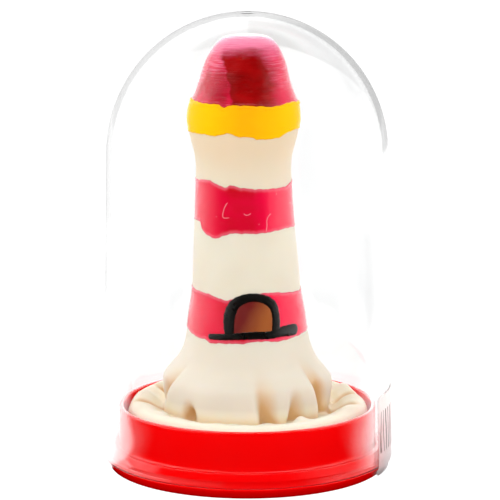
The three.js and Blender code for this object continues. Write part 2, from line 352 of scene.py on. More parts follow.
def sleeve_rows():
    """The sleeve's rows of points, and how deep each point lies in a fold, from 0 to 1, for painted shade.
    """
    down = OUTLINE[::-1]
    shaft = resample(down[down[:, 1] >= SKIRT_TOP], SHAFT_STEP)
    skirt = resample(down[down[:, 1] <= SKIRT_TOP], SKIRT_STEP)
    ring = resample(spline(RING_OUTLINE), RING_STEP)
    under = resample(np.array(UNDERSIDE), UNDERSIDE_STEP)
    inside = (down - outward_normals(down) * SLEEVE_THICK)[down[:, 1] >= SKIRT_TOP][::-1]
    inside = np.vstack([[(POST_RADIUS, SLEEVE_SEAT)], [(POST_RADIUS, SKIRT_TOP - 2)], inside])
    inside = resample(inside, INSIDE_STEP)
    inside[-1, 0] = 0

    angle = angles_round(SLEEVE_COLUMNS)
    foot_fade = np.exp(-np.linalg.norm(ring - ring[0], axis=1) / FOOT_BLEND)

    def ringed(line, outward, lift):
        return placed(angle, line[:, :1] + outward, line[:, 1:] + lift)

    outer = np.vstack([shaft, skirt[1:]])
    radius, z = outer[:, :1], outer[:, 1:]
    pleats = pleat_shift(angle, z)
    body = ringed(outer, shaft_unevenness(angle, z) * (radius > 0.01) + pleats, 0)
    top = ring[1:]
    gather = pleat_shift(angle, np.full((1, 1), SKIRT_FOOT)) * foot_fade[1:, None]
    wave = RIM_WAVE * np.sin(np.radians(angle) * 5 + 1) * smooth_step(20, 25, top[:, :1])
    gathers = ring_shift(angle, top[:, :1])
    rise = BACK_RISE * (1 - np.cos(np.radians(angle))) * hump(top[:, :1], 23, 2.4)
    room_for_wave = RIM_WAVE * smooth_step(22, 25, top[:, :1])
    crest = ringed(top, gather + wave - room_for_wave, gathers + rise)
    below = ringed(under[1:], wave[-1:] * smooth_step(24, 25.2, under[1:, :1]), 0)
    within = ringed(inside[1:], 0, 0)

    # Painted shade: deeper in the pleats and gathers, and in the crease where the skirt meets the ring
    skirt_fold_shade = np.clip(-pleats / PLEAT_DEEP, 0, 1) + 0.5 * hump(z, SKIRT_FOOT, 1.2)
    ring_fold_shade = np.clip(-gathers / GATHER_DEEP, 0, 1) + 0.5 * foot_fade[1:, None]
    hidden = np.zeros((len(below) + len(within), SLEEVE_COLUMNS))
    fold = np.clip(np.vstack([skirt_fold_shade, ring_fold_shade, hidden]), 0, 1)
    return leaning(np.vstack([body, crest, below, within])), fold


# ---- paint

def edge_curve(knots):
    """A hand-brushed edge as a function of the angle, through (angle, height) knots."""
    knots = sorted(knots)
    before = [(angle - 360, z) for angle, z in knots[-3:]]
    after = [(angle + 360, z) for angle, z in knots[:3]]
    line = spline([*before, *knots, *after], 16)

    def height(angle):
        wrapped = turn_between(angle, 0)
        a = np.radians(angle)
        ragged = 0.05 * np.sin(23 * a) + 0.04 * np.sin(41 * a + 1) + 0.03 * np.sin(67 * a + 2)
        return np.interp(wrapped, line[:, 0], line[:, 1]) + ragged

    return height


UPPER_STRIPE_TOP = edge_curve((
    (-170, 59.9), (-120, 60.3), (-71, 60.5), (-48, 60.9), (-34, 60.3), (-23, 59.7), (-15, 60.2), (-4, 59.8),
    (18, 59.4), (45, 59.3), (62, 59.4), (76, 59.9), (115, 60.4), (150, 59.6),
))
UPPER_STRIPE_LOW = edge_curve((
    (-160, 50.6), (-120, 51.4), (-72, 52), (-61, 51.9), (-57, 50.6), (-50, 49.8), (-40, 49.2), (-32, 49.2),
    (-23, 49.9), (-12, 50.4), (17, 50.4), (52, 50.8), (79, 50.5), (120, 50),
))
LOWER_STRIPE_TOP = edge_curve((
    (-150, 37.4), (-105, 38.1), (-73, 37.8), (-45, 37.6), (-30, 37), (-22, 36.7), (-10, 37.2), (10, 38),
    (28, 38.2), (50, 37.7), (85, 37.3), (130, 37.9), (175, 37.2),
))
LOWER_STRIPE_LOW = edge_curve((
    (-150, 28.6), (-110, 29.3), (-78, 29.2), (-55, 28.5), (-42, 28.3), (-35, 27.8), (-22, 28), (-5, 28.1),
    (11, 28.5), (32, 28.2), (48, 28.5), (79, 28.8), (130, 28), (175, 28.4),
))
GALLERY_TOP = edge_curve((
    (-150, 76.4), (-100, 76.9), (-70, 76.8), (-44, 76.6), (-30, 76.7), (-21, 76.2), (-11, 76.6), (15, 76.4),
    (30, 76.15), (42, 76.3), (62, 76.6), (90, 76.2), (130, 76.5), (175, 76.1),
))
GALLERY_LOW = edge_curve((
    (-150, 70.2), (-100, 69.8), (-75, 70.1), (-43, 70.3), (-29, 70.2), (-16, 70.9), (-6, 70.3), (8, 70.1),
    (16, 69.6), (28, 69.6), (40, 69.7), (50, 70.4), (68, 70.8), (110, 70.2), (175, 69.9),
))
COAT_COLUMNS, COAT_ROWS = 320, 45
COAT_CLEARANCE, COAT_LEAST = 0.03, 0.01
EDGE_FADE = 0.9
NO_EDGE = 99

# Full thickness of each coat, and of the bead along the gallery's top edge
CAP_THICK, STRIPE_THICK = 0.12, 0.10
GALLERY_THICK, GALLERY_BEAD = 0.18, 0.16

# How far the cap's paint goes below the gallery's top edge, and where it starts to follow it
CAP_TUCK = 0.25
CAP_EDGE_START = 77.2

# The mark that tells the paint of lint, and a fibre's size and lift off the latex
LINT = 2.0
LINT_HALF_WIDTH, LINT_LIFT, LINT_THICK = 0.04, 0.10, 0.05

# Fibres in the upper stripe, as (across, height) points
FIBRES = (
    ((-3.3, 56.7), (-4, 55.6), (-4.4, 54.4), (-4.4, 53.6), (-3.8, 53.5), (-3, 53.6)),
    ((-0.1, 54.6), (0.2, 54.3), (0.7, 54.2), (1.4, 54.6)),
    ((5.6, 54.3), (5, 53.8), (4.6, 53), (4.6, 51.8), (4.3, 50.6)),
    ((-6.1, 53.7), (-5.8, 53.5)), ((2.8, 52.4), (3.1, 52.2)), ((6.9, 58.3), (7.1, 58)),
)

# The window's arch and sill as (across, height, half width) along each stroke, and the rim of
# the pane between them as (across, height)
ARCH = (
    (-3.5, 29.6, 1), (-3.6, 31.8, 1.15), (-3.4, 33.8, 1.2), (-2.5, 35.8, 1.1), (-0.7, 37, 0.95),
    (1.5, 37.4, 0.85), (3.8, 36.9, 0.9), (5.5, 35.6, 0.95), (6.1, 33.8, 0.9), (6.2, 31.8, 0.95),
    (6, 30, 0.9),
)
SILL = (
    (-8.3, 29.1, 0.55), (-7, 29.2, 0.6), (-4.8, 29.35, 0.65), (-1.3, 29.65, 0.72), (1.7, 29.8, 0.8),
    (4.7, 29.7, 0.8), (7.2, 30.1, 1), (9.7, 30.15, 1.15), (12.1, 30.05, 1.1),
)
PANE_RIM = (
    (1.2, 30), (3.7, 29.8), (5.4, 30.6), (5.8, 32.6), (5.4, 34.4), (3.9, 36.2), (1.4, 36.9),
    (-1.1, 35.9), (-2.4, 33.6), (-3.1, 31.4), (-2.5, 30), (-0.3, 30.1), (1.2, 30),
)
PANE_CENTRE = (1.3, 33)

# Lift off the latex and thickness of each part of the window
ARCH_LIFT, ARCH_THICK = 0.15, 0.16
SILL_LIFT, SILL_THICK = 0.16, 0.15
PANE_LIFT, PANE_THICK = 0.14, 0.06


def coat_thickness(angle, z, from_low, from_high, full):
    """Thickness of brushed paint: level, with a raised bead along the edges that ends thin."""
    a = np.radians(angle)
    edge = np.minimum(from_low, from_high)
    bead = 0.45 * hump(edge, 0.32, 0.22)
    brush = 0.04 * np.sin(9 * a + 2.1 * z) + 0.03 * np.sin(4 * a - 3.7 * z + 1)
    return full * (0.85 + bead + brush) * smooth_step(-0.02, 0.22, edge) + COAT_LEAST


def coat_face(angle, z, thickness):
    """Points on a coat's face that lies on the shaft's latex."""
    return placed(angle, figure_radius(z) + shaft_unevenness(angle, z) + COAT_CLEARANCE + thickness, z)


def painted_band(name, low, high, full, top_bead=0):
    """A coat of paint round the shaft between two brushed edges."""
    share = eased_steps(COAT_ROWS)[:, None]
    angle = angles_round(COAT_COLUMNS)
    bottom, top = low(angle), high(angle)
    z = bottom + (top - bottom) * share
    lumps = 0.7 + 0.3 * np.sin(np.radians(angle) * 13 + 1) + 0.3 * np.sin(np.radians(angle) * 5)
    thickness = coat_thickness(angle, z, z - bottom, top - z, full)
    thickness = thickness + top_bead * lumps * hump(top - z, 0.38, 0.26)
    thin = 1 - smooth_step(0.05, EDGE_FADE, np.minimum(z - bottom, top - z))
    rows = np.vstack([coat_face(angle, z, thickness), coat_face(angle, z, 0)[::-1]])
    return turned_object(name, leaning(rows), closed=True, mark=np.vstack([thin, thin[::-1]]))


def painted_cap(name, low, full):
    """A coat of paint over the tip, down to a brushed edge."""
    down = OUTLINE[::-1]
    above = resample(down[down[:, 1] >= CAP_EDGE_START], 0.3)
    normal = outward_normals(above)
    angle = angles_round(COAT_COLUMNS)
    bottom = low(angle) - CAP_TUCK
    side_z = above[-1, 1] + (bottom - above[-1, 1]) * np.linspace(0, 1, 14)[1:, None]

    def face(painted):
        radius, z = above[:, :1], above[:, 1:]
        lift = COAT_CLEARANCE + coat_thickness(angle, z, z - bottom, NO_EDGE, full) * painted
        radius = radius + shaft_unevenness(angle, z) * (radius > 0.01) + normal[:, :1] * lift
        side_lift = coat_thickness(angle, side_z, side_z - bottom, NO_EDGE, full) * painted
        side = coat_face(angle, side_z, side_lift)
        return np.vstack([placed(angle, radius, z + normal[:, 1:] * lift), side])

    return turned_object(name, leaning(np.vstack([face(True), face(False)[::-1]])))


def on_figure(spot, lift):
    """Points at a lift off the latex, from spots as distance across the front and height."""
    across, z = spot[..., 0], spot[..., 1]
    radius = figure_radius(z)
    angle = np.degrees(across / radius)
    return leaning(placed(angle, radius + shaft_unevenness(angle, z) + lift, z))


def brush_stroke(name, knots, base_lift, thick):
    """One stroke of thick paint along (across, height, half width) knots, with round ends."""
    line = resample(spline(knots, 20), 0.12)
    middle, half = line[:, :2], line[:, 2]
    along = np.gradient(middle, axis=0)
    along /= np.linalg.norm(along, axis=1)[:, None]
    side = np.stack([-along[:, 1], along[:, 0]], axis=1)
    run = run_along(middle)
    to_end = np.minimum(run, run[-1] - run)
    cap = np.sqrt(np.clip(1 - (1 - np.clip(to_end / half, 0, 1)) ** 2, 0, 1))
    wobble = 1 + 0.04 * np.sin(run * 5.1) + 0.03 * np.sin(run * 11.7 + 1)
    width = half * wobble * np.maximum(cap, 0.04)
    share = np.sin(np.linspace(-np.pi / 2, np.pi / 2, 15))[None, :]
    spot = middle[:, None, :] + side[:, None, :] * (width[:, None] * share)[..., None]
    dome = np.clip(1 - share**4, 0, 1) * np.maximum(cap[:, None], 0)
    ridges = 1 + 0.12 * np.sin(share * 9 + run[:, None] * 0.7)
    inner = on_figure(spot, base_lift)
    outer = on_figure(spot, base_lift + 0.015 + thick * dome * ridges)
    return slab_object(name, inner, outer)


def lint_on(film, fibres):
    """Lint that dried into the paint: thin fibres whose mark tells the material what they are."""
    pieces = [film]
    for number, knots in enumerate(fibres):
        stroke = [(*knot, LINT_HALF_WIDTH) for knot in knots]
        fibre = brush_stroke(f"lint_{number}", stroke, LINT_LIFT, LINT_THICK)
        set_mark(fibre, np.full(len(fibre.data.vertices), LINT))
        pieces.append(fibre)
    return joined(film.name, pieces)


def window_pane_object(name):
    """The pane's paint: a patch with round shoulders and a nearly flat foot."""
    rim = resample(spline(PANE_RIM, 12), 0.35)[:-1]
    centre = np.array(PANE_CENTRE)
    rings = np.linspace(0, 1, 12)[:, None, None]
    spot = centre + (rim[None] - centre) * rings
    thick = PANE_THICK * (1 - 0.6 * rings[..., 0] ** 4)
    outer = on_figure(spot, PANE_LIFT + COAT_LEAST + thick)
    inner = on_figure(spot, PANE_LIFT)
    return turned_object(name, np.vstack([outer, inner[::-1]]))


def joined(name, objects):
    """The objects as one object of separate bodies."""
    for obj in bpy.context.view_layer.objects:
        obj.select_set(obj in objects)
    bpy.context.view_layer.objects.active = objects[0]
    bpy.ops.object.join()
    objects[0].name = name
    objects[0].data.name = name
    return objects[0]


# ---- moulded parts and labels

DOME_GATE_RADIUS = 1.6
DOME_LIP = 0.2
SHOULDER_RADIUS = DOME_RADIUS - DOME_TAPER
SHOULDER_HEIGHT = DOME_TOP - DOME_GATE_RISE - SHOULDER_RADIUS

# The base's foot ring, the collar's steps and the cup's inside
FOOT_INNER, FOOT_OUTER, FOOT_RECESS = 26, 28.2, 0.6
FLANGE_ROUND = 0.3
STEP_RADIUS = 28.6
CUP_FLOOR, CUP_DRAFT, CUP_ROUND = 2, 0.1, 0.6

SAME_POINT = 1e-5
MOULDED_COLUMNS = 256


def dome_radius(z):
    """The dome's outer radius on its tapered side."""
    return DOME_RADIUS - DOME_TAPER * (z - DOME_MOUTH) / (SHOULDER_HEIGHT - DOME_MOUTH)


def arc_points(centre, radius, start, end, steps):
    """Points of an arc in the section plane, with angles in degrees above the horizontal."""
    a = np.radians(np.linspace(start, end, steps + 1))
    return np.stack([centre[0] + radius * np.cos(a), centre[1] + radius * np.sin(a)], axis=1)


def line_points(start, end, steps):
    share = np.linspace(0, 1, steps + 1)[:, None]
    return np.array(start) * (1 - share) + np.array(end) * share


def turned_profile(name, parts):
    """A moulded body turned from a profile that starts and ends on the axis."""
    line = np.vstack(parts)
    keep = np.concatenate([[True], np.linalg.norm(np.diff(line, axis=0), axis=1) > SAME_POINT])
    line = line[keep]
    return turned_object(name, placed(angles_round(MOULDED_COLUMNS), line[:, :1], line[:, 1:]))


def dome_object():
    inner = SHOULDER_RADIUS - DOME_WALL
    mouth_inner = DOME_RADIUS - DOME_WALL
    lip_height = DOME_MOUTH + DOME_LIP
    gate_angle = math.degrees(math.acos(DOME_GATE_RADIUS / SHOULDER_RADIUS))
    across = np.linspace(0, DOME_GATE_RADIUS, 9)
    sphere = SHOULDER_HEIGHT + np.sqrt(SHOULDER_RADIUS**2 - across**2)
    rise = DOME_GATE_RISE * (0.5 + 0.5 * np.cos(np.pi * across / DOME_GATE_RADIUS))
    return turned_profile("dome_shell", (
        np.stack([across, sphere + rise], axis=1),
        arc_points((0, SHOULDER_HEIGHT), SHOULDER_RADIUS, gate_angle, 0, 72),
        line_points((SHOULDER_RADIUS, SHOULDER_HEIGHT), (DOME_RADIUS, lip_height), 24),
        arc_points((DOME_RADIUS - DOME_LIP, lip_height), DOME_LIP, 0, -90, 5),
        arc_points((mouth_inner + DOME_LIP, lip_height), DOME_LIP, -90, -180, 5),
        line_points((mouth_inner, lip_height), (inner, SHOULDER_HEIGHT), 24),
        arc_points((0, SHOULDER_HEIGHT), inner, 0, 90, 72),
    ))


def base_object():
    lip = CUP_WALL / 2
    cup_inner = CUP_RADIUS - CUP_WALL
    corner = cup_inner - CUP_DRAFT - CUP_ROUND
    flange_middle = (FLANGE_RADIUS - FLANGE_ROUND, FLANGE_HEIGHT - FLANGE_ROUND)
    return turned_profile("base_moulding", (
        line_points((0, FOOT_RECESS), (FOOT_INNER - 1, FOOT_RECESS), 6),
        arc_points((FOOT_INNER, FOOT_RECESS), FOOT_RECESS, 180, 270, 6),
        line_points((FOOT_INNER, 0), (FOOT_OUTER, 0), 2),
        arc_points((FOOT_OUTER, FOOT_RECESS), FOOT_RECESS, -90, -20, 6),
        line_points((28.95, 0.75), (FLANGE_RADIUS, FLANGE_HEIGHT - FLANGE_ROUND), 2),
        arc_points(flange_middle, FLANGE_ROUND, 0, 90, 6),
        line_points((STEP_RADIUS + 0.1, FLANGE_HEIGHT), (STEP_RADIUS, FLANGE_HEIGHT + 0.1), 1),
        arc_points((STEP_RADIUS - 0.3, 3.55), 0.3, 0, 45, 5),
        arc_points((27.75, 4.8), 0.2, 30, 90, 5),
        arc_points((27.1, 5.3), 0.3, 270, 180, 5),
        line_points((CUP_RADIUS + 0.08, 5.4), (CUP_RADIUS, RIM_HEIGHT - lip), 12),
        arc_points((CUP_RADIUS - lip, RIM_HEIGHT - lip), lip, 0, 180, 14),
        line_points((cup_inner, RIM_HEIGHT - lip), (cup_inner - CUP_DRAFT, CUP_FLOOR + CUP_ROUND), 10),
        arc_points((corner, CUP_FLOOR + CUP_ROUND), CUP_ROUND, 0, -90, 5),
        line_points((corner, CUP_FLOOR), (0, CUP_FLOOR), 6),
    ))


LABEL_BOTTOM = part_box("seal_label_right")[0].z / MM
LABEL_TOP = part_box("seal_label_right")[1].z / MM
LABEL_CORNER = 1.5
LABEL_THICK, LABEL_CURL, LABEL_GAP = 0.12, 0.12, 0.04

# Each label's side, the angle of its middle, and its width
LABELS = (("right", 80, 17.4), ("left", -108, 13))


def label_object(name, middle_angle, width):
    """A paper seal that lies on the dome and bends in over the flange below it. Its mark is 1 on
    the printed outer face and 0 on the back."""
    half = width / 2
    z = LABEL_BOTTOM + (LABEL_TOP - LABEL_BOTTOM) * eased_steps(49)[:, None]
    from_end = np.minimum(z - LABEL_BOTTOM, LABEL_TOP - z)
    into_corner = np.clip(LABEL_CORNER - from_end, 0, LABEL_CORNER)
    inset = LABEL_CORNER - np.sqrt(np.clip(LABEL_CORNER**2 - into_corner**2, 0, None))
    across = (half - inset) * np.linspace(-1, 1, 41)[None, :]
    on_flange = FLANGE_RADIUS + 0.05
    bend = smooth_step(DOME_MOUTH - 1.6, DOME_MOUTH + 0.1, z)
    lift = on_flange + (dome_radius(z) - on_flange) * bend + LABEL_GAP
    curl = LABEL_CURL * smooth_step(half - 1.6, half, np.abs(across)) * smooth_step(8, LABEL_TOP, z)
    angle = middle_angle + np.degrees(across / DOME_RADIUS)
    inner = placed(angle, lift + curl, z)
    outer = placed(angle, lift + curl + LABEL_THICK, z)
    label = slab_object(name, inner, outer)
    set_mark(label, np.repeat([0.0, 1.0], across.size))
    return label


# ---- materials

class Tree:
    """Short helpers for a node tree."""

    def __init__(self, tree):
        self.tree = tree

    def add(self, kind, **settings):
        node = self.tree.nodes.new("ShaderNode" + kind)
        for key, value in settings.items():
            setattr(node, key, value)
        return node

    def link(self, source, target):
        self.tree.links.new(source, target)

    def feed(self, socket, value):
        """Puts a number, a colour or another node's output into a socket."""
        if isinstance(value, (int, float)):
            socket.default_value = value
        elif isinstance(value, tuple):
            socket.default_value = (*value, 1)
        else:
            self.link(value, socket)

    def maths(self, operation, first, second=0):
        node = self.add("Math", operation=operation)
        self.feed(node.inputs[0], first)
        self.feed(node.inputs[1], second)
        return node.outputs["Value"]

    def times(self, value, *others):
        for other in others:
            value = self.maths("MULTIPLY", value, other)
        return value

    def ranged(self, value, low, high, to_low=0, to_high=1, steps="LINEAR"):
        """The value on its way from low to high, as a number from to_low to to_high."""
        node = self.add("MapRange", interpolation_type=steps)
        names = ("Value", "From Min", "From Max", "To Min", "To Max")
        for name, number in zip(names, (value, low, high, to_low, to_high)):
            self.feed(node.inputs[name], number)
        return node.outputs["Result"]

    def axes(self, vector):
        """The X, Y and Z of a vector."""
        node = self.add("SeparateXYZ")
        self.link(vector, node.inputs["Vector"])
        return node.outputs["X"], node.outputs["Y"], node.outputs["Z"]


class Nodes(Tree):
    """A material's nodes, with its Principled shader and the point's x, y and z in metres."""

    def __init__(self, name):
        self.material = bpy.data.materials.new(name)
        self.material.use_nodes = True
        super().__init__(self.material.node_tree)
        self.shader = self.tree.nodes["Principled BSDF"]
        self.coordinates = self.add("TexCoord").outputs["Object"]
        self.x, self.y, self.z = self.axes(self.coordinates)

    def plain(self, **values):
        """Numbers or colours on the shader's own sockets, named with _ for a space."""
        for key, value in values.items():
            self.shader.inputs[key.replace("_", " ")].default_value = value

    def texture(self, kind, stretch, settings, **numbers):
        """A texture's outputs, from its settings and its numbers, named with _ for a space."""
        mapping = self.add("Mapping")
        mapping.inputs["Scale"].default_value = stretch
        self.link(self.coordinates, mapping.inputs["Vector"])
        node = self.add("Tex" + kind, **settings)
        self.link(mapping.outputs["Vector"], node.inputs["Vector"])
        for key, value in numbers.items():
            node.inputs[key.replace("_", " ")].default_value = value
        return node.outputs

    def noise(self, scale, detail=4, stretch=(1, 1, 1)):
        return self.texture("Noise", stretch, {}, Scale=scale, Detail=detail, Roughness=0.55)["Fac"]

    def mixed(self, factor, first, second):
        node = self.add("Mix", data_type="RGBA")
        self.link(factor, node.inputs["Factor"])
        self.feed(node.inputs[6], first)
        self.feed(node.inputs[7], second)
        return node.outputs[2]

    def mark(self):
        """The number that the mesh carries at the point."""
        return self.add("Attribute", attribute_name="mark").outputs["Fac"]

    def colour(self, output):
        self.link(output, self.shader.inputs["Base Color"])

    def rough(self, value, low, high):
        self.link(self.ranged(value, 0.3, 0.7, low, high), self.shader.inputs["Roughness"])

    def bump(self, height, distance, strength=1):
        node = self.add("Bump")
        node.inputs["Strength"].default_value = strength
        node.inputs["Distance"].default_value = distance
        self.link(height, node.inputs["Height"])
        self.link(node.outputs["Normal"], self.shader.inputs["Normal"])


def clear_plastic():
    n = Nodes("clear_plastic")
    n.plain(Base_Color=(0.992, 0.994, 0.994, 1), Roughness=0.02, IOR=1.49, Transmission_Weight=1)
    n.bump(n.noise(60, 2, (1, 1, 0.35)), 0.00003)
    return n.material


def red_plastic():
    n = Nodes("red_plastic")
    cloud = n.noise(45, 3)
    n.colour(n.mixed(cloud, (0.94, 0, 0), (1, 0, 0.001)))
    n.rough(n.noise(160, 5), 0.06, 0.09)
    n.bump(n.noise(900, 2), 0.00001)
    n.plain(Subsurface_Weight=0.15, Subsurface_Radius=(1, 0.05, 0.03), Subsurface_Scale=0.001)
    return n.material


def cream_latex():
    """Cream latex: cooler on the skirt, darker and peachier on the neck as painted shade under the gallery,
    paler and creamier on the ring, partly its own tone and partly painted light on its top, and
    darker in folds as painted shade.
    """
    n = Nodes("cream_latex")
    cloud = n.noise(120, 5)
    fine = n.noise(1500, 2)
    height = n.maths("ADD", n.z, n.times(cloud, 0.006))
    clouded = n.ranged(cloud, 0.35, 0.65)
    shaft = n.mixed(clouded, (0.79, 0.69, 0.55), (0.82, 0.73, 0.59))
    skirt = n.mixed(clouded, (0.73, 0.67, 0.56), (0.77, 0.71, 0.60))
    skin = n.mixed(n.ranged(height, 0.040, 0.020), shaft, skirt)
    # Painted shade: darker and peachier on the neck under the gallery's overhang
    skin = n.mixed(n.ranged(height, 0.058, 0.070), skin, (0.81, 0.62, 0.43))
    # Paler and creamier on the ring: partly its own tone, partly painted light on its top
    skin = n.mixed(n.ranged(n.z, 0.0155, 0.0125), skin, (0.98, 0.92, 0.75))
    # Painted shade in the folds, from the mesh's mark
    n.colour(n.mixed(n.times(n.mark(), 0.95), skin, (0.72, 0.44, 0.20)))
    n.rough(fine, 0.42, 0.5)
    n.bump(fine, 0.00001, 0.5)
    n.plain(Specular_IOR_Level=0.3, Subsurface_Weight=0.35)
    n.plain(Subsurface_Radius=(1, 0.6, 0.35), Subsurface_Scale=0.0014)
    return n.material


def brushed_paint(n, thin, full, left, right, line_scale, line_depth):
    """The brush lines and the colour of paint that is thinner and fuller in places, with paler colours at
    the left and the right that are painted light from the sides, pale thin edges, and lint and dust in it."""
    lines = n.noise(line_scale, 3, (0.06, 0.06, 1))
    cloud = n.noise(150, 3, (0.6, 0.6, 1))
    cover = n.maths("ADD", n.times(lines, 0.25), n.times(cloud, 0.75))
    painted = n.mixed(n.ranged(cover, 0.40, 0.60), thin, full)
    # Painted light: paler towards the left and the right sides, where side light and its sheen fall
    painted = n.mixed(n.ranged(n.x, -0.0035, -0.0070), painted, left)
    painted = n.mixed(n.ranged(n.x, 0.0010, 0.0045), painted, right)
    mark = n.mark()
    painted = n.mixed(n.times(n.ranged(mark, 0, 1), 0.6), painted, (0.78, 0.16, 0.22))
    dust = n.texture("Voronoi", (1, 1, 1), {"feature": "F1"}, Scale=420)["Distance"]
    rare = n.ranged(n.noise(330, 0), 0.66, 0.68)
    speck = n.times(n.ranged(dust, 0.10, 0.05), rare)
    lint = n.maths("MAXIMUM", n.times(speck, 0.7), n.ranged(mark, LINT - 0.5, LINT - 0.2))
    n.bump(lines, line_depth)
    return lines, n.mixed(lint, painted, (0.92, 0.55, 0.58))


def red_paint():
    n = Nodes("red_paint")
    thin, full = (0.67, 0, 0.028), (0.53, 0, 0.006)
    # Paler colours for the left and the right sides: painted light
    left, right = (0.76, 0, 0.035), (0.88, 0, 0.05)
    lines, painted = brushed_paint(n, thin, full, left, right, 900, 0.00002)
    n.colour(painted)
    n.rough(lines, 0.09, 0.14)
    return n.material


# The cap's dark patch, a painted dark reflection of the room's front: where its edges fade, and the
# # height it leans from, its slope and raggedness
PATCH_LEFT, PATCH_RIGHT, PATCH_TOP = (-0.0040, -0.0034), (0.0068, 0.0040), (0.0874, 0.0858)
PATCH_LEVEL, PATCH_SLOPE, PATCH_RAGGED = 0.0800, 0.17, 0.004


def cap_paint():
    """Crimson with a painted dark reflection at the front, a dark blotch at the left in the same colour,
    paler streaks and a pale tip as painted highlights, and paler sides as painted light.
    """
    n = Nodes("cap_paint")
    thin, full = (0.64, 0.004, 0.045), (0.50, 0, 0.02)
    # Paler colours for the left and the right sides: painted light
    left, right = (0.70, 0.008, 0.055), (0.74, 0.010, 0.06)
    lines, painted = brushed_paint(n, thin, full, left, right, 3400, 0.0001)
    # Painted dark reflection of the room's front across the cap's middle, with ragged edges
    ragged = n.maths("SUBTRACT", n.noise(420, 4, (0.25, 0.25, 1)), 0.5)
    ragged = n.times(ragged, PATCH_RAGGED)
    slope = n.times(n.maths("SUBTRACT", n.z, PATCH_LEVEL), PATCH_SLOPE)
    from_left = n.maths("ADD", n.maths("ADD", n.x, slope), ragged)
    patch = n.times(n.ranged(from_left, *PATCH_LEFT), n.ranged(from_left, *PATCH_RIGHT))
    below_top = n.ranged(n.maths("ADD", n.z, ragged), *PATCH_TOP)
    patch = n.times(patch, below_top, n.ranged(n.y, 0, -0.001))
    # A dark blotch low at the left, in the same painted dark-reflection colour
    blotch = n.ranged(n.noise(170, 2, (1, 1, 0.7)), 0.50, 0.66)
    low_left = n.times(n.ranged(n.z, 0.0850, 0.0820, 0, 0.6), n.ranged(n.x, -0.001, -0.004))
    blotch = n.times(blotch, low_left)
    # Painted highlight: paler towards the tip, where the overhead light shines on it
    painted = n.mixed(n.ranged(n.z, 0.0845, 0.0885), painted, (0.80, 0.15, 0.30))
    # Painted highlights: paler streaks along the brush lines, low on the cap
    streaks = n.ranged(n.noise(5600, 2, (0.04, 0.04, 1)), 0.46, 0.66, 0, 0.5)
    streaks = n.times(streaks, n.ranged(n.z, 0.0785, 0.0830))
    painted = n.mixed(streaks, painted, (0.88, 0.24, 0.40))
    # The colour of the painted dark reflection on the cap's front
    clouded = n.ranged(n.noise(260, 3, (0.5, 0.5, 1)), 0.35, 0.65)
    thick = n.mixed(clouded, (0.20, 0, 0), (0.38, 0, 0.001))
    n.colour(n.mixed(n.maths("MAXIMUM", patch, blotch), painted, thick))
    n.rough(lines, 0.08, 0.14)
    return n.material


def yellow_paint():
    n = Nodes("yellow_paint")
    cloud = n.noise(170, 3, (0.4, 0.4, 1))
    middle = n.mixed(n.ranged(cloud, 0.35, 0.65), (0.98, 0.385, 0), (1, 0.435, 0))
    # Painted light: paler towards both sides, where the side light and its sheen fall
    n.colour(n.mixed(n.ranged(n.maths("ABSOLUTE", n.x), 0.001, 0.008), middle, (1, 0.54, 0)))
    n.rough(cloud, 0.10, 0.16)
    n.bump(cloud, 0.00004, 0.6)
    n.plain(Specular_IOR_Level=0.02, Subsurface_Weight=0.2)
    n.plain(Subsurface_Radius=(1, 0.5, 0.05), Subsurface_Scale=0.001)
    return n.material


def black_paint():
    n = Nodes("black_paint")
    cloud = n.noise(500, 3)
    n.colour(n.mixed(cloud, (0.001, 0.001, 0.001), (0.008, 0.007, 0.005)))
    n.rough(cloud, 0.25, 0.4)
    n.bump(cloud, 0.00005, 0.7)
    return n.material


def brown_paint():
    n = Nodes("brown_paint")
    drift = n.maths("SUBTRACT", n.x, n.times(n.ranged(n.z, 0.030, 0.037), 0.003))
    cloud = n.maths("ADD", drift, n.times(n.noise(300, 2), 0.002))
    n.colour(n.mixed(n.ranged(cloud, -0.001, 0.0035), (0.17, 0.002, 0), (0.36, 0.085, 0.005)))
    n.rough(n.noise(600), 0.3, 0.42)
    n.bump(n.noise(700, 2), 0.00003)
    return n.material


def label_paper():
    """White paper, with made-up strokes printed on the outer face of the right label."""
    n = Nodes("label_paper")
    fibre = n.noise(1500, 4)
    paper = n.mixed(n.ranged(fibre, 0.3, 0.7), (0.93, 0.90, 0.90), (0.97, 0.95, 0.95))
    bands = {"wave_type": "BANDS", "bands_direction": "Y"}
    strokes = n.texture(
        "Wave", (1, 1, 0.35), bands, Scale=190, Distortion=5, Detail=1, Detail_Scale=1.2
    )["Fac"]
    printed = n.times(n.ranged(n.z, 0.0050, 0.0053), n.ranged(n.z, 0.0140, 0.0137))
    printed = n.times(printed, n.ranged(n.x, 0, 0.001), n.ranged(n.mark(), 0.5, 0.9))
    ink = n.times(n.ranged(strokes, 0.76, 0.84), printed)
    n.colour(n.mixed(ink, paper, (0.03, 0.028, 0.025)))
    n.rough(fibre, 0.45, 0.6)
    n.bump(fibre, 0.00002)
    n.plain(Subsurface_Weight=1, Subsurface_Radius=(1, 0.95, 0.95), Subsurface_Scale=0.002)
    return n.material


def turned_wood():
    n = Nodes("turned_wood")
    settings = {"wave_type": "RINGS", "rings_direction": "X"}
    rings = n.texture("Wave", (1, 1, 0.15), settings, Scale=90, Distortion=3)["Fac"]
    n.colour(n.mixed(rings, (0.42, 0.26, 0.13), (0.63, 0.45, 0.27)))
    n.rough(n.noise(700), 0.5, 0.7)
    n.bump(rings, 0.00005, 0.4)
    return n.material


# ---- assembly

def fit(piece, body, node, material):
    piece.data.materials.clear()
    piece.data.materials.append(material)
    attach(piece, body)
    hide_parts(node)
    return piece


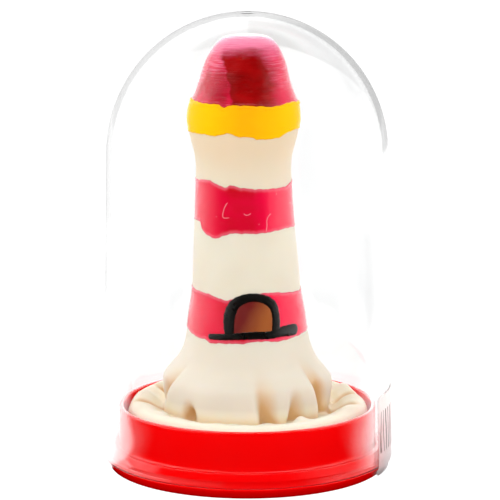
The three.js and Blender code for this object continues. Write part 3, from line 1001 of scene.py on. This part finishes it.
dome = fit(dome_object(), "dome", "clear_dome", clear_plastic())
dome.visible_shadow = False
dome.visible_diffuse = False
fit(base_object(), "base", "base_cup", red_plastic())
sleeve, sleeve_fold_shade = sleeve_rows()
skin = turned_object("latex_skin", sleeve, mark=sleeve_fold_shade)
fit(skin, "figure", "latex_sleeve", cream_latex())
fit(painted_cap("cap_paint_film", GALLERY_TOP, CAP_THICK), "figure", "cap_coat", cap_paint())
gallery = painted_band("gallery_paint_film", GALLERY_LOW, GALLERY_TOP, GALLERY_THICK, GALLERY_BEAD)
fit(gallery, "figure", "gallery_coat", yellow_paint())
stripe_paint = red_paint()
upper_stripe = painted_band("upper_stripe_film", UPPER_STRIPE_LOW, UPPER_STRIPE_TOP, STRIPE_THICK)
fit(lint_on(upper_stripe, FIBRES), "figure", "upper_stripe_coat", stripe_paint)
lower_stripe = painted_band("lower_stripe_film", LOWER_STRIPE_LOW, LOWER_STRIPE_TOP, STRIPE_THICK)
fit(lower_stripe, "figure", "lower_stripe_coat", stripe_paint)
fit(window_pane_object("window_pane_film"), "figure", "window_pane", brown_paint())
arch = brush_stroke("window_arch", ARCH, ARCH_LIFT, ARCH_THICK)
sill = brush_stroke("window_sill", SILL, SILL_LIFT, SILL_THICK)
fit(joined("window_outline_film", [arch, sill]), "figure", "window_outline", black_paint())
paper = label_paper()
for side, middle_angle, width in LABELS:
    label = label_object("seal_paper_" + side, middle_angle, width)
    fit(label, "dome", "seal_label_" + side, paper)
former = frame["nodes"]["inner_former"]
former.data.materials.clear()
former.data.materials.append(turned_wood())


# ---- studio

CAMERA_TILT = 10.7

# Levels of the background, of all light on the object, and of the room in the dome's reflections
BACKDROP_LEVEL = 1.16
ROOM_LEVEL = 0.8
DIM_FRONT = 0.06
NEAR_SIDES = 0.5
SIDES_LEVEL = 1.12

# A ramp below says where it starts and ends, in degrees or metres, and its levels there. Bearings
# count from the front towards +X.

# What the figure reflects: a panel at the left with a sagging top edge, one at the right, and
# one overhead that reaches lower away from the front
LEFT_PANEL = (-115, -20, 2.8, 0.5)
LEFT_PANEL_SIDE = (-26, -16, 1, 0)
LEFT_PANEL_TOP = (24, 29, 1, 0)
SAG_BEARING, SAG_HALF_WIDTH, SAG_DEPTH = -53, 34, 7
RIGHT_PANEL = (40, 85, 0, 2.1)
RIGHT_PANEL_TOP = (9, 20, 1, 0.4)
TOP_PANEL = (61, 72, 0, 4)
TOP_PANEL_REACH = 0.0021

# What the dome reflects: the back, the near sides, a shade at the back right, a deeper one that
# draws the crescent inside the right shoulder, and nothing from above
BACK_EDGE, NEAR_EDGE = 96, 62
BACK_RIGHT = ((100, 112), (166, 178, 1, 0), (34, 50, 1, 0))
BACK_RIGHT_SHADE = 0.25
CRESCENT = ((96, 106), (126, 140, 1, 0), (12, 26))
CRESCENT_SHADE = 0.55
DARK_ABOVE = (46, 56, 1, 0)

# The view through the dome from left to right, and the light on the object
SEEN_THROUGH_DOME = (-10, 10, 1.06, 0.91)
LIGHT_BY_HEIGHT = (-0.2, 1, 1.6, 1.75)
LIGHT_BY_BEARING = (0, 90**2, 0.91, 1)

# The floor where the dome reflects it: how its dark front widens with the distance, and how its
# level falls at the left, the right and the back
FLOOR_WIDENING = (0.10, 0.20, 0, -32)
FLOOR_CLOSE = (0.05, 0.09, 1.2, 1)
FLOOR_LEFT = (0.17, 0.33, 2.3, 1.05)
FLOOR_RIGHT = (0.34, 0.55, 2.3, 0.84)
FLOOR_BACK = (120**2, 150**2, 2.3, 1.2)

# The floor where the figure reflects it: the distance where a zone starts, the bearings where
# its left side is full and is out, that side's level, and the same for its right side
FLOOR_GLOW = (
    (0.00, -94, -70, 1.2, 68, 92, 1),
    (0.07, -112, -88, 1.6, 78, 106, 2.2),
    (0.12, -60, -35, 1.2, 40, 85, 2.1),
    (0.23, -112, -50, 2.2, 40, 85, 2.1),
)
GLOW_BLUR = 0.02
GLOW_BACK = (130**2, 160**2, 1, 0.8)

# The floor's size, its gap below the object, and how the object shades it
FLOOR_SIZE, FLOOR_GAP = 3, 0.02
FLOOR_SHADE = (0.028, 0.06, 0.12, 1)


class Studio(Tree):
    """Node helpers for the room round the object, whose front is darker in reflections."""

    def __init__(self, tree):
        super().__init__(tree)
        rays = self.add("LightPath").outputs
        self.glossy = self.maths("MINIMUM", rays["Glossy Depth"], 1)
        self.diffuse = self.maths("MINIMUM", rays["Diffuse Depth"], 1)
        self.bounced = self.maths("MAXIMUM", self.glossy, self.diffuse)
        self.through_dome = self.maths("GREATER_THAN", rays["Transmission Depth"], 0.5)
        self.from_inside = self.maths("GREATER_THAN", rays["Transmission Depth"], 3)

    def ramp(self, value, *limits):
        return self.ranged(value, *limits, steps="SMOOTHSTEP")

    def blend(self, factor, first, second):
        """first where factor is 0 and second where it is 1."""
        rest = self.times(self.maths("SUBTRACT", 1, factor), first)
        return self.maths("ADD", rest, self.times(factor, second))

    def bearing(self, vector):
        """Degrees from the front towards +X, and the height of a direction."""
        x, y, z = self.axes(vector)
        turn = self.maths("ARCTAN2", x, self.times(y, -1))
        return self.maths("DEGREES", turn), z

    def beyond(self, turn, left, right, blur):
        """1 at the sides and back, past the left and the right edge, and 0 in front."""
        past_left = self.ramp(turn, left - blur, left + blur, 1, 0)
        past_right = self.ramp(turn, right - 4 * blur, right + 4 * blur)
        return self.maths("MAXIMUM", past_left, past_right)

    def zone(self, turn, elevation, start, end, heights):
        """1 between a start and an end bearing and within heights."""
        return self.times(self.ramp(turn, *start), self.ramp(turn, *end), self.ramp(elevation, *heights))


def seen_in_figure(room, turn, elevation):
    """The level of the room where the figure reflects it."""
    sag = room.maths("DIVIDE", room.maths("SUBTRACT", turn, SAG_BEARING), SAG_HALF_WIDTH)
    above_edge = room.maths("SUBTRACT", elevation, room.times(sag, sag, SAG_DEPTH))
    left = room.times(room.ramp(turn, *LEFT_PANEL), room.ramp(turn, *LEFT_PANEL_SIDE))
    left = room.times(left, room.ramp(above_edge, *LEFT_PANEL_TOP))
    right = room.times(room.ramp(turn, *RIGHT_PANEL), room.ramp(elevation, *RIGHT_PANEL_TOP))
    over_top = room.maths("ADD", elevation, room.times(turn, turn, TOP_PANEL_REACH))
    top = room.ramp(over_top, *TOP_PANEL)
    return room.maths("MAXIMUM", room.maths("MAXIMUM", left, right), top)


def seen_in_dome(room, turn, elevation):
    """The level of the room where the dome reflects it."""
    sides = room.times(room.beyond(turn, -BACK_EDGE, BACK_EDGE, 4), 1 - DIM_FRONT)
    near_sides = room.times(room.beyond(turn, -NEAR_EDGE, NEAR_EDGE, 2), NEAR_SIDES)
    sides = room.maths("ADD", room.maths("MAXIMUM", sides, near_sides), DIM_FRONT)
    back_right = room.times(room.zone(turn, elevation, *BACK_RIGHT), BACK_RIGHT_SHADE)
    crescent = room.times(room.zone(turn, elevation, *CRESCENT), CRESCENT_SHADE)
    shade = room.maths("SUBTRACT", room.maths("SUBTRACT", 1, back_right), crescent)
    return room.times(sides, SIDES_LEVEL, shade, room.ramp(elevation, *DARK_ABOVE))


def make_world():
    """An even white room for light, with its own bright panels and dark front in reflections."""
    world = bpy.data.worlds.new("studio")
    world.cycles.sampling_method = "NONE"
    scene.world = world
    world.use_nodes = True
    world.node_tree.nodes.clear()
    room = Studio(world.node_tree)
    turn, height = room.bearing(room.add("TexCoord").outputs["Generated"])
    elevation = room.maths("DEGREES", room.maths("ARCSINE", height))

    on_dome = seen_in_dome(room, turn, elevation)
    on_figure = seen_in_figure(room, turn, elevation)
    reflected = room.blend(room.from_inside, on_dome, on_figure)
    front_dim = room.ramp(room.times(turn, turn), *LIGHT_BY_BEARING)
    lighting = room.times(room.ramp(height, *LIGHT_BY_HEIGHT), front_dim)
    level = room.times(room.blend(room.glossy, lighting, reflected), ROOM_LEVEL)
    through = room.ramp(turn, *SEEN_THROUGH_DOME)
    backdrop = room.blend(room.through_dome, BACKDROP_LEVEL, through)
    lit = room.add("Background")
    lit.inputs["Color"].default_value = (1, 1, 1, 1)
    room.link(room.blend(room.bounced, backdrop, level), lit.inputs["Strength"])
    room.link(lit.outputs[0], room.add("OutputWorld").inputs["Surface"])


def floor_in_dome(room, turn, distance):
    """The floor's level where the dome reflects it."""
    turned = room.times(turn, room.ramp(distance, *FLOOR_CLOSE))
    turned = room.maths("ADD", turned, room.ramp(distance, *FLOOR_WIDENING))
    left, right = room.ramp(distance, *FLOOR_LEFT), room.ramp(distance, *FLOOR_RIGHT)
    level = room.blend(room.ramp(turn, -10, 10), left, right)
    level = room.times(room.beyond(turned, -BACK_EDGE, BACK_EDGE - 4, 4), level)
    return room.maths("MINIMUM", level, room.ramp(room.times(turn, turn), *FLOOR_BACK))


def floor_in_figure(room, turn, distance):
    """The floor's level where the figure reflects it."""
    level = 0
    for start, left_full, left_none, left_level, right_none, right_full, right_level in FLOOR_GLOW:
        left = room.ramp(turn, left_full, left_none, left_level, 0)
        right = room.ramp(turn, right_none, right_full, 0, right_level)
        reached = room.ramp(distance, start - GLOW_BLUR, start + GLOW_BLUR)
        level = room.blend(reached, level, room.maths("MAXIMUM", left, right))
    return room.times(level, room.ramp(room.times(turn, turn), *GLOW_BACK))


def make_floor():
    """A pale floor, as bright as the backdrop where it is seen straight on."""
    below = (0, 0, -FLOOR_GAP * MM)
    bpy.ops.mesh.primitive_grid_add(x_subdivisions=8, y_subdivisions=8, size=FLOOR_SIZE, location=below)
    floor = bpy.context.object
    floor.name = "studio_floor"
    n = Nodes("studio_floor")
    n.material.cycles.emission_sampling = "NONE"
    room = Studio(n.tree)
    turn, _ = room.bearing(n.coordinates)
    reach = n.add("VectorMath", operation="LENGTH")
    n.link(n.coordinates, reach.inputs[0])
    distance = reach.outputs["Value"]
    in_dome = floor_in_dome(room, turn, distance)
    in_figure = floor_in_figure(room, turn, distance)
    glow = room.blend(room.from_inside, in_dome, in_figure)
    pale = n.mixed(n.noise(6, 2), (0.93, 0.93, 0.93), (0.95, 0.95, 0.95))
    # Painted shade: the floor is darker near the object, seen only by bounce light
    lit = room.times(room.diffuse, room.ramp(distance, *FLOOR_SHADE))
    n.colour(n.mixed(lit, (0, 0, 0), pale))
    n.plain(Roughness=0.9, Specular_IOR_Level=0, Emission_Color=(1, 1, 1, 1))
    straight = room.times(room.maths("SUBTRACT", 1, room.bounced), BACKDROP_LEVEL)
    reflected = room.times(glow, room.glossy)
    n.link(room.maths("ADD", straight, reflected), n.shader.inputs["Emission Strength"])
    floor.data.materials.append(n.material)


def make_light():
    """A soft panel at the top left that lights the object but shows in no reflection."""
    light = bpy.data.lights.new("top_left_light", "AREA")
    light.energy = 0.17
    light.size = 0.3
    obj = bpy.data.objects.new("top_left_light", light)
    obj.location = (-0.25, -0.15, 0.45)
    to_object = mathutils.Vector((0, 0, 0.045)) - obj.location
    obj.rotation_euler = to_object.to_track_quat("-Z", "Y").to_euler()
    obj.visible_glossy = False
    obj.visible_transmission = False
    scene.collection.objects.link(obj)


def make_camera():
    camera = bpy.data.cameras.new("camera")
    camera.sensor_width = 36
    camera.lens = 195.3
    camera.clip_start = 0.01
    camera.clip_end = 20
    obj = bpy.data.objects.new("camera", camera)
    obj.location = (0.00056, -0.550, 0.149)
    obj.rotation_euler = (math.radians(90 - CAMERA_TILT), 0, 0)
    scene.collection.objects.link(obj)
    scene.camera = obj


make_world()
make_floor()
make_light()
make_camera()
scene.view_settings.view_transform = "Standard"
